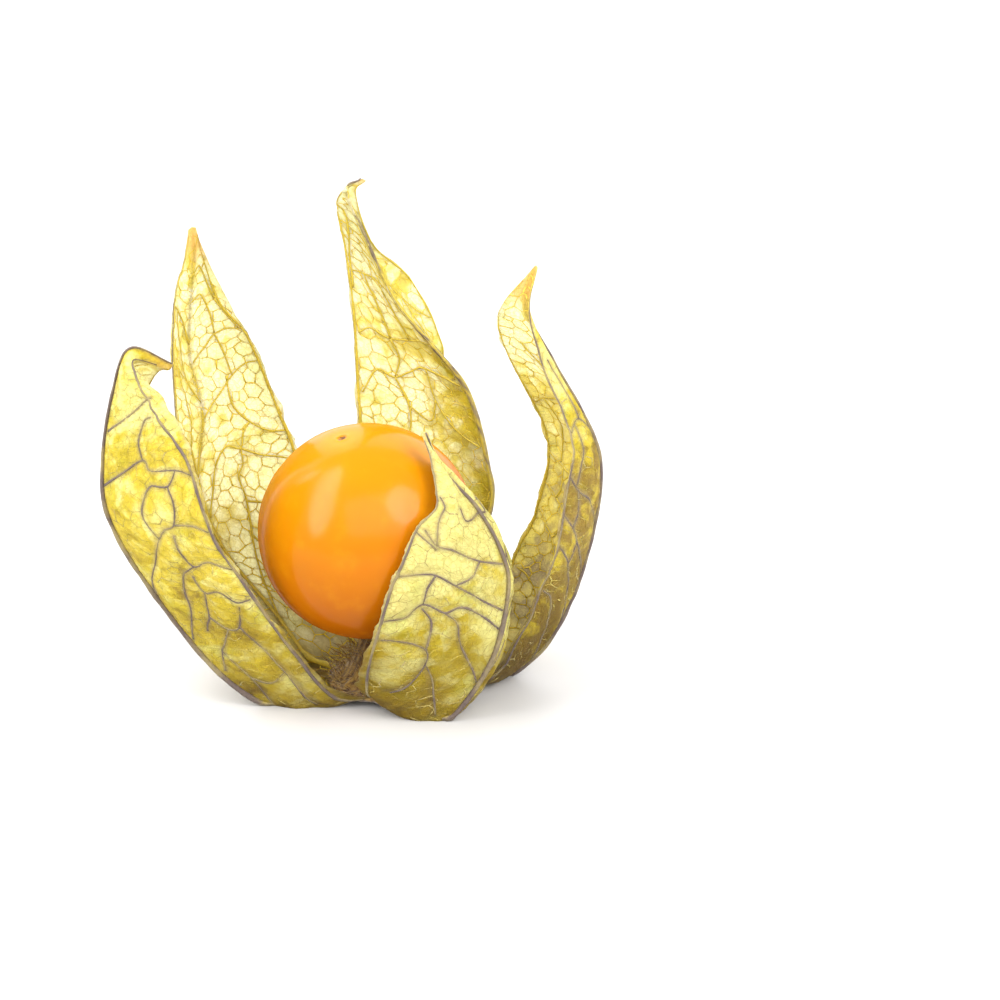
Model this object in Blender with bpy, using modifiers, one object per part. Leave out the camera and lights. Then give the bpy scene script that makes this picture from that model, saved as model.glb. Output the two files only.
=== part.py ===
"""Physalis berry (cape gooseberry) standing in its own papery husk, torn open into five lobes.

Run in Blender 4.5: blender --background --python part.py
Metres, +Z up. The fruit stands on the shoulders of its husk, with its lowest point at z = 0
and the middle of its box over the origin. The front of the fruit faces -Y.
"""

import math

import bmesh
import bpy
from mathutils import Matrix, Vector

MM = 0.001

# The berry: a ball that is flattened a little at its stalk end.
BERRY_RADIUS = 9.45
BERRY_CENTRE = Vector((1.1, -3.7, 15.1))
BERRY_AXIS = Vector((-0.22, -0.13, 0.97)).normalized()
BERRY_HEIGHT_SHARE = 0.985

# The closed base of the husk, turned round the stalk: an inward dent with a rim.
STALK_X, STALK_Y = 3.1, -2.5
BASE_THICKNESS = 0.5
BASE_PROFILE = (
    (0.0, 5.4),
    (1.8, 5.4),
    (2.6, 4.9),
    (3.3, 3.4),
    (4.0, 1.9),
    (4.7, 1.2),
    (5.5, 0.95),
)
BASE_STEPS = 40

# The short piece of stalk left in the dent.
STALK_RADIUS = 0.7
STALK_BOTTOM, STALK_TOP = 0.9, 4.5

# The lobes start on a ring just outside the rim of the base.
ROOT_RADIUS, ROOT_HEIGHT = 6.1, 0.6
ROOT_HALF_ANGLE = 32.5

HUSK_THICKNESS = 0.4
STEPS_ACROSS = 8
STEPS_ALONG = 26

# Each lobe is one sepal. A row goes across it, from its clockwise torn edge over the keel
# to its other torn edge, and the rows climb from the shoulder on the floor to the tip.
# The belly is how far each half bulges out between keel and edge. All in millimetres.
HUSK_LOBES = {
    "husk_lobe_left": {
        "heading": 220,
        "belly": (0.7, 0.8),
        "rows": (
            ((-5.0, -2.2, 1.0), (-5.9, -6.5, -0.5), (-1.7, -7.7, 1.2)),
            ((-8.8, 0.1, 2.6), (-11.3, -7.2, 2.9), (-4.8, -9.2, 5.7)),
            ((-13.3, 1.3, 7.0), (-17.2, -7.2, 10.8), (-8.5, -11.2, 12.5)),
            ((-17.1, 1.8, 12.5), (-20.8, -6.7, 17.4), (-11.5, -12.2, 18.1)),
            ((-18.5, 1.5, 18.0), (-21.2, -6.2, 22.4), (-13.2, -11.7, 24.2)),
            ((-18.7, 0.1, 23.5), (-20.2, -6.2, 28.3), (-15.0, -10.2, 28.5)),
            ((-17.3, -3.2, 29.0), (-18.1, -6.2, 32.1), (-16.3, -7.7, 30.3)),
            ((-14.8, -5.3, 30.9), (-14.7, -5.7, 30.9), (-14.8, -6.0, 30.5)),
        ),
    },
    "husk_lobe_front": {
        "heading": 292,
        "belly": (1.0, 0.7),
        "rows": (
            ((1.0, -9.5, 2.4), (7.4, -10.0, -0.5), (9.7, -6.3, 0.9)),
            ((1.4, -12.2, 7.0), (11.6, -10.2, 5.2), (11.9, -5.2, 4.0)),
            ((2.8, -13.7, 12.3), (13.2, -9.3, 11.6), (12.8, -4.3, 9.0)),
            ((3.9, -13.7, 15.1), (12.6, -8.7, 15.0), (12.1, -4.7, 13.5)),
            ((5.7, -12.9, 18.8), (10.7, -8.2, 18.5), (10.4, -6.3, 18.2)),
            ((7.2, -11.3, 20.2), (8.9, -7.7, 20.5), (8.6, -6.7, 21.0)),
            ((6.8, -8.7, 22.8), (7.3, -7.5, 22.5), (7.1, -6.9, 23.0)),
            ((6.0, -7.4, 25.3), (6.2, -7.1, 25.3), (6.5, -6.8, 25.1)),
        ),
    },
    "husk_lobe_right": {
        "heading": 4,
        "belly": (0.5, 0.6),
        "rows": (
            ((12.1, -4.7, 2.0), (11.9, -0.1, -0.5), (9.9, 3.2, 1.0)),
            ((14.3, -6.7, 6.8), (16.1, -0.7, 2.7), (13.0, 4.3, 3.6)),
            ((16.1, -7.7, 11.3), (18.9, -1.7, 8.3), (13.7, 5.3, 8.7)),
            ((17.5, -8.2, 15.5), (20.6, -2.2, 14.6), (15.8, 5.3, 14.2)),
            ((18.5, -7.7, 21.3), (21.2, -2.7, 20.3), (16.9, 4.3, 19.5)),
            ((18.7, -6.7, 24.4), (20.1, -2.7, 24.4), (15.7, 2.8, 24.1)),
            ((16.8, -4.7, 29.1), (17.1, -2.7, 30.1), (12.9, 0.3, 30.6)),
            ((15.2, -3.1, 34.4), (15.0, -2.5, 34.8), (12.9, -0.9, 34.2)),
            ((15.8, -2.5, 38.4), (15.7, -2.2, 38.5), (15.5, -1.9, 38.2)),
        ),
    },
    "husk_lobe_back": {
        "heading": 76,
        "belly": (0.4, 0.8),
        "rows": (
            ((8.9, 4.3, 1.1), (5.1, 6.0, -0.5), (1.5, 5.2, 0.9)),
            ((10.7, 9.3, 5.0), (8.5, 8.8, 4.0), (0.5, 7.8, 4.0)),
            ((10.3, 12.8, 11.0), (11.7, 10.3, 11.7), (0.0, 9.8, 10.5)),
            ((8.9, 13.8, 17.0), (11.4, 10.3, 16.6), (0.0, 10.3, 17.0)),
            ((7.6, 13.3, 22.7), (9.7, 9.8, 23.2), (-0.3, 10.3, 23.7)),
            ((7.3, 11.8, 27.2), (6.6, 8.8, 27.8), (-0.5, 9.3, 31.0)),
            ((4.8, 10.3, 33.4), (3.2, 8.3, 32.4), (-1.0, 8.3, 36.6)),
            ((1.5, 7.9, 37.5), (0.9, 7.3, 38.1), (-1.5, 7.3, 40.5)),
            ((0.1, 6.8, 42.3), (-0.7, 6.5, 42.7), (-1.3, 6.7, 42.2)),
            ((1.0, 6.4, 43.6), (0.7, 6.3, 43.8), (0.4, 6.3, 43.6)),
        ),
    },
    "husk_lobe_back_left": {
        "heading": 148,
        "belly": (0.9, 0.5),
        "rows": (
            ((0.0, 4.8, 0.9), (-3.6, 2.5, -0.5), (-5.6, -0.4, 1.1)),
            ((-2.8, 7.8, 4.0), (-7.5, 5.9, 3.5), (-10.1, 3.1, 4.0)),
            ((-4.8, 10.3, 10.0), (-12.3, 7.3, 9.5), (-14.5, 3.5, 9.5)),
            ((-5.5, 10.8, 16.9), (-14.3, 8.3, 15.4), (-15.2, 3.3, 16.8)),
            ((-6.9, 10.8, 21.0), (-13.8, 8.3, 21.6), (-15.5, 2.8, 23.0)),
            ((-8.8, 9.3, 27.1), (-14.7, 7.3, 27.0), (-15.7, 2.8, 29.4)),
            ((-11.0, 7.3, 32.1), (-14.5, 6.3, 32.1), (-15.5, 3.3, 33.9)),
            ((-12.6, 5.3, 37.5), (-13.9, 5.3, 37.1), (-14.7, 4.3, 37.3)),
            ((-13.7, 5.0, 39.8), (-14.0, 4.8, 39.9), (-14.3, 4.6, 39.7)),
        ),
    },
}

BERRY_COLOUR = (0.83, 0.30, 0.02)
HUSK_COLOUR = (0.72, 0.62, 0.20)
BASE_COLOUR = (0.42, 0.33, 0.12)
STALK_COLOUR = (0.30, 0.27, 0.08)


def clear_scene():
    for thing in list(bpy.data.objects):
        bpy.data.objects.remove(thing, do_unlink=True)


def new_collection(name):
    group = bpy.data.collections.new(name)
    bpy.context.scene.collection.children.link(group)
    return group


def new_material(name, colour, roughness):
    material = bpy.data.materials.new(name)
    material.use_nodes = True
    shader = material.node_tree.nodes["Principled BSDF"]
    shader.inputs["Base Color"].default_value = (*colour, 1.0)
    shader.inputs["Roughness"].default_value = roughness
    shader.inputs["Metallic"].default_value = 0.0
    return material


def add_object(name, bm, group, material=None):
    """Turns a bmesh into a smooth-shaded object in a collection."""
    mesh = bpy.data.meshes.new(name)
    bm.to_mesh(mesh)
    bm.free()
    for face in mesh.polygons:
        face.use_smooth = True
    thing = bpy.data.objects.new(name, mesh)
    group.objects.link(thing)
    if material:
        mesh.materials.append(material)
    return thing


def through_points(points, share):
    """The point at a share (0 to 1) of the smooth curve through the points."""
    last = len(points) - 1
    place = share * last
    i = min(int(place), last - 1)
    f = place - i
    b, c = points[i], points[i + 1]
    a = points[i - 1] if i > 0 else 2 * b - c
    d = points[i + 2] if i + 2 <= last else 2 * c - b
    return 0.5 * (
        2 * b + (c - a) * f + (2 * a - 5 * b + 4 * c - d) * f**2 + (3 * b - a - 3 * c + d) * f**3
    )


def root_row(heading):
    """The first row of a lobe, on the ring round the rim of the husk's base."""
    row = []
    for turn in (-ROOT_HALF_ANGLE, 0.0, ROOT_HALF_ANGLE):
        angle = math.radians(heading + turn)
        x = STALK_X + ROOT_RADIUS * math.cos(angle)
        y = STALK_Y + ROOT_RADIUS * math.sin(angle)
        row.append((x, y, ROOT_HEIGHT))
    return tuple(row)


def lobe_point(rails, belly, across, along):
    """A point of a lobe's outer face; across runs over its two halves, along from root to tip."""
    half = 0 if across < 0.5 else 1
    share = 2.0 * across - half
    edge_a = through_points(rails[half], along)
    edge_b = through_points(rails[half + 1], along)
    ahead = min(along + 0.01, 1.0)
    behind = max(along - 0.01, 0.0)
    climb = through_points(rails[half], ahead) - through_points(rails[half], behind)
    climb += through_points(rails[half + 1], ahead) - through_points(rails[half + 1], behind)
    outward = (edge_b - edge_a).cross(climb).normalized()
    bulge = belly[half] * 4.0 * share * (1.0 - share) * math.sin(math.pi * along)
    return (edge_a.lerp(edge_b, share) + outward * bulge) * MM


def make_lobe(name, lobe, group, material):
    """A lobe of the husk: an open curved sheet, pressed flat where it stands, thickened inward."""
    rows = [root_row(lobe["heading"]), *lobe["rows"]]
    rails = [[Vector(row[k]) for row in rows] for k in range(3)]
    bm = bmesh.new()
    bmesh.ops.create_grid(bm, x_segments=STEPS_ACROSS, y_segments=STEPS_ALONG, size=0.5)
    for vert in bm.verts:
        vert.co = lobe_point(rails, lobe["belly"], vert.co.x + 0.5, vert.co.y + 0.5)
        vert.co.z = max(vert.co.z, 0.0)
    thing = add_object(name, bm, group, material)
    shell = thing.modifiers.new("husk thickness", "SOLIDIFY")
    shell.thickness = HUSK_THICKNESS * MM
    shell.offset = -1.0
    return thing


def make_berry(group, material):
    bm = bmesh.new()
    bmesh.ops.create_uvsphere(bm, u_segments=44, v_segments=22, radius=BERRY_RADIUS * MM)
    bmesh.ops.scale(bm, vec=(1.0, 1.0, BERRY_HEIGHT_SHARE), verts=bm.verts)
    thing = add_object("berry", bm, group, material)
    thing.location = BERRY_CENTRE * MM
    thing.rotation_euler = Vector((0, 0, 1)).rotation_difference(BERRY_AXIS).to_euler()
    return thing


def make_base(group, material):
    """The closed base of the husk, a profile turned round the stalk's axis."""
    bm = bmesh.new()
    corners = [Vector((r, 0.0, z)) for r, z in BASE_PROFILE]
    inner = [Vector((r, 0.0, z - BASE_THICKNESS)) for r, z in BASE_PROFILE[:2]]
    for before, here in zip(corners[1:], corners[2:]):
        slope = (here - before).normalized()
        inner.append(here - BASE_THICKNESS * Vector((-slope.z, 0.0, slope.x)))
    outline = corners + inner[::-1]
    verts = [bm.verts.new(corner * MM) for corner in outline]
    edges = [bm.edges.new(pair) for pair in zip(verts, verts[1:])]
    bmesh.ops.spin(
        bm,
        geom=verts + edges,
        cent=(0.0, 0.0, 0.0),
        axis=(0.0, 0.0, 1.0),
        angle=2.0 * math.pi,
        steps=BASE_STEPS,
        use_merge=True,
    )
    bmesh.ops.remove_doubles(bm, verts=bm.verts, dist=1e-6)
    bmesh.ops.recalc_face_normals(bm, faces=bm.faces)
    thing = add_object("husk_base", bm, group, material)
    thing.location = Vector((STALK_X, STALK_Y, 0.0)) * MM
    return thing


def make_stalk(group, material):
    bm = bmesh.new()
    bmesh.ops.create_cone(
        bm,
        cap_ends=True,
        segments=16,
        radius1=STALK_RADIUS * MM,
        radius2=0.85 * STALK_RADIUS * MM,
        depth=(STALK_TOP - STALK_BOTTOM) * MM,
        matrix=Matrix.Translation((0.0, 0.0, 0.5 * (STALK_TOP + STALK_BOTTOM) * MM)),
    )
    thing = add_object("stalk_stub", bm, group, material)
    thing.location = Vector((STALK_X, STALK_Y, 0.0)) * MM
    return thing


def build():
    clear_scene()
    fruit = new_collection("physalis_berry")
    make_berry(fruit, new_material("berry_skin", BERRY_COLOUR, 0.22))
    make_base(fruit, new_material("husk_base_tissue", BASE_COLOUR, 0.8))
    make_stalk(fruit, new_material("stalk", STALK_COLOUR, 0.7))
    husk = new_material("dry_husk", HUSK_COLOUR, 0.7)
    for name, lobe in HUSK_LOBES.items():
        make_lobe(name, lobe, fruit, husk)


build()
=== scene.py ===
# %% [markdown]
# # A physalis berry in its torn husk
#
# A physalis fruit grows inside a closed paper lantern. The lantern is the flower's calyx: five sepals
# joined at their edges, which go on growing until they meet over the berry. Here the lantern has been torn
# open along the seams, so that five pointed lobes stand round the berry like petals.
#
# The CAD model already holds each lobe as a plain thick sheet, the berry as a ball, and the base. It is
# loaded here as a fixed frame. Every visible piece below replaces one of those plain solids and stays
# in its place, in metres, with the front of the fruit facing -Y.

import math
import random

import bmesh
import bpy
import numpy as np
from mathutils import Matrix, Vector, geometry, noise
from mathutils.bvhtree import BVHTree
from mathutils.kdtree import KDTree


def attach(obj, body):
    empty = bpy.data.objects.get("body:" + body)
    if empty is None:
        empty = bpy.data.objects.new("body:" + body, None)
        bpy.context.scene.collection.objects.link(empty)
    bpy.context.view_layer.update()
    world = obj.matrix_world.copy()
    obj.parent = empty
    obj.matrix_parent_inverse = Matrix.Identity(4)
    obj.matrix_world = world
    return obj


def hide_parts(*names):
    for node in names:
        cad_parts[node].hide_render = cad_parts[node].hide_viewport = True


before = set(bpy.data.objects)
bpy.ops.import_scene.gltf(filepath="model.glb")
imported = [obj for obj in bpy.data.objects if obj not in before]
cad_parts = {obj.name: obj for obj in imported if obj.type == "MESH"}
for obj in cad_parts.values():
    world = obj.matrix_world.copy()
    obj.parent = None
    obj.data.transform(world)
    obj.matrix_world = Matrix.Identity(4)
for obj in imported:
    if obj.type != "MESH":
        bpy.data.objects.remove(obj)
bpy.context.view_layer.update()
MM = 0.001

# %% [markdown]
# ## Where we look from
#
# The fruit is seen from a little above, as a small thing on a table is. A long lens far away keeps the
# lobes' proportions true. The camera aims at a point to the right of the fruit, so the fruit stands left
# of the middle with white space round it.

# %% Camera
VIEW_TARGET = Vector((12.6, -3.7, 17.9)) * MM
VIEW_DISTANCE = 340 * MM
VIEW_ELEVATION = math.radians(20)
VIEW_LENS, VIEW_SENSOR = 142, 36
VIEW_NEAREST, VIEW_FARTHEST = 0.01, 10


def add_camera():
    data = bpy.data.cameras.new("camera")
    data.lens = VIEW_LENS
    data.sensor_width = VIEW_SENSOR
    data.clip_start = VIEW_NEAREST
    data.clip_end = VIEW_FARTHEST
    camera = bpy.data.objects.new("camera", data)
    back = Vector((0.0, -math.cos(VIEW_ELEVATION), math.sin(VIEW_ELEVATION)))
    camera.location = VIEW_TARGET + VIEW_DISTANCE * back
    camera.rotation_euler = (math.radians(90) - VIEW_ELEVATION, 0.0, 0.0)
    bpy.context.scene.collection.objects.link(camera)
    bpy.context.scene.camera = camera
    return camera


camera = add_camera()
print("camera at", [round(c, 3) for c in camera.location])

# %% [markdown]
# ## The shape of one lobe
#
# A lobe is one sepal: two thin halves that meet at a stiff keel, with a torn edge on the far side of each
# half. It could be sculpted by hand, but three curves say all that matters: one torn edge, the keel, and
# the other torn edge. Each row below holds one point of each, from the shoulder that stands on the table
# up to the tip, in millimetres. The sheet is then drawn between the curves, and `belly` says how far each
# half bulges out on its way from the keel to the edge.

# %% The rows of the five lobes
STALK = Vector((3.1, -2.5, 0.0))
ROOT_RADIUS, ROOT_HEIGHT, ROOT_HALF_ANGLE = 5.0, 0.95, 36.0

LOBES = {
    "left": {
        "node": "husk_lobe_left",
        "heading": 220,
        "belly": (0.7, 0.8),
        "rows": (
            ((-5.0, -2.2, 1.0), (-5.9, -6.5, -0.5), (-1.7, -7.7, 1.2)),
            ((-8.8, 0.1, 2.6), (-11.3, -7.2, 2.9), (-4.8, -9.2, 5.7)),
            ((-13.3, 1.3, 7.0), (-17.2, -7.2, 10.8), (-8.5, -11.2, 12.5)),
            ((-17.1, 1.8, 12.5), (-20.8, -6.7, 17.4), (-11.5, -12.2, 18.1)),
            ((-18.5, 1.5, 18.0), (-21.2, -6.2, 22.4), (-13.2, -11.7, 24.2)),
            ((-18.7, 0.1, 23.5), (-20.2, -6.2, 28.3), (-15.0, -10.2, 28.5)),
            ((-16.9, -3.4, 29.0), (-18.6, -6.2, 32.4), (-18.2, -7.3, 31.3)),
            ((-15.3, -4.9, 30.2), (-15.1, -5.3, 30.7), (-15.3, -5.6, 30.4)),
        ),
    },
    "front": {
        "node": "husk_lobe_front",
        "heading": 292,
        "belly": (1.0, 0.7),
        "rows": (
            ((1.0, -9.5, 2.4), (7.4, -10.0, -0.5), (9.7, -6.3, 0.9)),
            ((1.4, -12.2, 7.0), (11.6, -10.2, 5.2), (11.9, -5.2, 4.0)),
            ((2.8, -13.7, 12.3), (13.2, -9.3, 11.6), (12.8, -4.3, 9.0)),
            ((3.9, -13.7, 15.1), (12.6, -8.7, 15.0), (12.1, -4.7, 13.5)),
            ((5.7, -12.9, 18.8), (10.7, -8.2, 18.5), (10.4, -6.3, 18.2)),
            ((7.2, -11.3, 20.2), (8.9, -7.7, 20.5), (8.6, -6.7, 21.0)),
            ((6.8, -8.7, 22.8), (7.3, -7.5, 22.5), (7.1, -6.9, 23.0)),
            ((6.0, -7.4, 25.3), (6.2, -7.1, 25.3), (6.5, -6.8, 25.1)),
        ),
    },
    "right": {
        "node": "husk_lobe_right",
        "heading": 4,
        "belly": (0.5, 0.6),
        "rows": (
            ((12.1, -4.7, 2.0), (11.9, -0.1, -0.5), (9.9, 3.2, 1.0)),
            ((14.3, -6.7, 6.8), (16.1, -0.7, 2.7), (13.0, 4.3, 3.6)),
            ((16.1, -7.7, 11.3), (18.9, -1.7, 8.3), (13.7, 5.3, 8.7)),
            ((17.5, -8.2, 15.5), (20.6, -2.2, 14.6), (15.8, 5.3, 14.2)),
            ((18.5, -7.7, 21.3), (21.2, -2.7, 20.3), (16.9, 4.3, 19.5)),
            ((18.7, -6.7, 24.4), (20.1, -2.7, 24.4), (15.7, 2.8, 24.1)),
            ((16.8, -4.7, 29.1), (17.1, -2.7, 30.1), (12.9, 0.3, 30.6)),
            ((15.1, -3.1, 34.4), (14.8, -2.5, 34.8), (12.6, -0.9, 34.1)),
            ((15.8, -2.5, 38.4), (15.7, -2.2, 38.5), (15.5, -1.9, 38.2)),
        ),
    },
    "back": {
        "node": "husk_lobe_back",
        "heading": 76,
        "belly": (0.4, 0.8),
        "rows": (
            ((8.9, 4.3, 1.1), (5.1, 6.0, -0.5), (1.5, 5.2, 0.9)),
            ((10.7, 9.3, 5.0), (8.5, 8.8, 4.0), (0.5, 7.8, 4.0)),
            ((10.3, 12.8, 11.0), (11.7, 10.3, 11.7), (0.0, 9.8, 10.5)),
            ((8.9, 13.8, 17.0), (11.4, 10.3, 16.6), (0.0, 10.3, 17.0)),
            ((7.6, 13.3, 22.7), (9.7, 9.8, 23.2), (-0.3, 10.3, 23.7)),
            ((7.3, 11.8, 27.2), (6.6, 8.8, 27.8), (-0.5, 9.3, 31.0)),
            ((4.8, 10.3, 33.4), (3.2, 8.3, 32.4), (-1.0, 8.3, 36.6)),
            ((1.5, 7.9, 37.5), (0.9, 7.3, 38.1), (-1.5, 7.3, 40.5)),
            ((0.1, 6.8, 42.3), (-0.7, 6.5, 42.7), (-1.3, 6.7, 42.2)),
            ((1.0, 6.4, 43.6), (0.7, 6.3, 43.8), (0.4, 6.3, 43.6)),
        ),
    },
    "back_left": {
        "node": "husk_lobe_back_left",
        "heading": 148,
        "belly": (0.9, 0.5),
        "rows": (
            ((0.0, 4.8, 0.9), (-3.6, 2.5, -0.5), (-5.6, -0.4, 1.1)),
            ((-2.8, 7.8, 4.0), (-7.5, 5.9, 3.5), (-10.1, 3.1, 4.0)),
            ((-4.8, 10.3, 10.0), (-12.3, 7.3, 9.5), (-14.5, 3.5, 9.5)),
            ((-5.5, 10.8, 16.9), (-14.3, 8.3, 15.4), (-15.2, 3.3, 16.8)),
            ((-6.9, 10.8, 21.0), (-13.8, 8.3, 21.6), (-15.5, 2.8, 23.0)),
            ((-8.8, 9.3, 27.1), (-14.7, 7.3, 27.0), (-15.7, 2.8, 29.4)),
            ((-11.0, 7.3, 32.1), (-14.5, 6.3, 32.1), (-15.5, 3.3, 33.9)),
            ((-13.0, 5.3, 37.4), (-13.9, 5.3, 37.1), (-14.6, 4.3, 37.2)),
            ((-13.7, 5.0, 39.8), (-14.0, 4.8, 39.9), (-14.3, 4.6, 39.7)),
        ),
    },
}
print("lobes:", ", ".join(f"{name} ({len(lobe['rows'])} rows)" for name, lobe in LOBES.items()))

# %% [markdown]
# ## Drawing the sheet between the curves
#
# A place on a lobe is told by two shares: `across`, 0 at one torn edge, 0.5 on the keel and 1 at the other
# edge, and `along`, 0 at the root and 1 at the tip. `lobe_places` turns many such shares into points at
# once. It works with whole arrays, because a lobe has tens of thousands of points.
#
# Dry husk is never smooth: it puckers between its veins and ripples along its length. Those ripples are
# real relief, so they move the points too, along the sheet's outward direction.


# %% From shares to points
CLIMB_STEP = 0.01


def through_points(points, share):
    """Points at shares 0 to 1 of a smooth curve through the given points."""
    points = np.asarray(points, float)
    last = len(points) - 1
    place = np.clip(share, 0.0, 1.0) * last
    i = np.minimum(place.astype(int), last - 1)
    f = (place - i)[..., None]
    ends = np.vstack([2 * points[0] - points[1], points, 2 * points[-1] - points[-2]])
    a, b, c, d = ends[i], ends[i + 1], ends[i + 2], ends[i + 3]
    bend = (2 * a - 5 * b + 4 * c - d) * f**2 + (3 * b - a - 3 * c + d) * f**3
    return 0.5 * (2 * b + (c - a) * f + bend)


def root_row(heading):
    """The row where a lobe grows out of the husk's base."""
    row = []
    for turn in (-ROOT_HALF_ANGLE, 0.0, ROOT_HALF_ANGLE):
        angle = math.radians(heading + turn)
        out = Vector((math.cos(angle), math.sin(angle), 0.0)) * ROOT_RADIUS
        row.append(tuple(STALK + out + Vector((0.0, 0.0, ROOT_HEIGHT))))
    return tuple(row)


def lobe_places(lobe, across, along):
    """Points and outward directions on the smooth sheet of a lobe, in millimetres."""
    rows = np.array([root_row(lobe["heading"]), *lobe["rows"]])
    rails = [rows[:, k] for k in range(rows.shape[1])]
    on_rail = np.stack([through_points(rail, along) for rail in rails])
    ahead, behind = np.clip(along + CLIMB_STEP, 0, 1), np.clip(along - CLIMB_STEP, 0, 1)
    climb = np.stack([through_points(r, ahead) - through_points(r, behind) for r in rails])
    halves = len(rails) - 1
    place = across * halves
    half = np.clip(place.astype(int), 0, halves - 1)
    share = (place - half)[:, None]
    each = np.arange(len(along))
    start, end = on_rail[half, each], on_rail[half + 1, each]
    outward = np.cross(end - start, climb[half, each] + climb[half + 1, each])
    outward /= np.linalg.norm(outward, axis=1, keepdims=True)
    belly = np.array(lobe["belly"])[half][:, None]
    bulge = belly * 4.0 * share * (1.0 - share) * np.sin(np.pi * along)[:, None]
    return start + (end - start) * share + outward * bulge, outward


middle, _ = lobe_places(LOBES["left"], np.array([0.5]), np.array([0.5]))
print("middle of the left lobe's keel, mm:", middle.round(1).tolist())

# %% [markdown]
# ## A flat pattern for each lobe
#
# Veins and ripples have a size in millimetres, whatever the shape of the lobe. So each lobe gets a flat
# pattern, as a dressmaker would draw it: `side`, how far a place lies from the keel across the sheet, and
# `rise`, how far it lies up the keel from the root. Both are measured on the lobe itself, in a small table.

# %% Flat patterns
TABLE_ACROSS = np.linspace(0.0, 1.0, 41)
TABLE_ALONG = np.linspace(0.0, 1.0, 81)


def measure_lobe(lobe):
    """Adds to a lobe the table of its widths and heights in millimetres."""
    across, along = np.meshgrid(TABLE_ACROSS, TABLE_ALONG)
    points, _ = lobe_places(lobe, across.ravel(), along.ravel())
    points = points.reshape(*across.shape, 3)
    steps = np.linalg.norm(np.diff(points, axis=1), axis=2)
    side = np.concatenate([np.zeros((len(steps), 1)), np.cumsum(steps, axis=1)], axis=1)
    keel = len(TABLE_ACROSS) // 2
    lobe["side"] = side - side[:, keel : keel + 1]
    climbs = np.linalg.norm(np.diff(points[:, keel], axis=0), axis=1)
    lobe["rise"] = np.concatenate([[0.0], np.cumsum(climbs)])


def flat_place(lobe, across, along):
    """The flat pattern's side and rise, in millimetres, of places on a lobe."""
    row = np.clip(along, 0, 1) * (len(TABLE_ALONG) - 1)
    low = np.minimum(row.astype(int), len(TABLE_ALONG) - 2)
    part = row - low
    column = np.clip(across, 0, 1) * (len(TABLE_ACROSS) - 1)
    left = np.minimum(column.astype(int), len(TABLE_ACROSS) - 2)
    shift = column - left
    table = lobe["side"]
    lower = table[low, left] * (1 - shift) + table[low, left + 1] * shift
    upper = table[low + 1, left] * (1 - shift) + table[low + 1, left + 1] * shift
    rise = np.interp(along, TABLE_ALONG, lobe["rise"])
    return lower * (1 - part) + upper * part, rise


def place_of(lobe, side, rise):
    """The share across and along of one point of the flat pattern, or None off the sheet."""
    along = float(np.interp(rise, lobe["rise"], TABLE_ALONG))
    row = lobe["side"][int(round(along * (len(TABLE_ALONG) - 1)))]
    if not row[0] < side < row[-1]:
        return None
    return float(np.interp(side, row, TABLE_ACROSS)), along


for name, lobe in LOBES.items():
    measure_lobe(lobe)
    widest = np.ptp(lobe["side"], axis=1).max()
    print(f"{name}: {lobe['rise'][-1]:.1f} mm along the keel, {widest:.1f} mm across at the widest")
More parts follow.
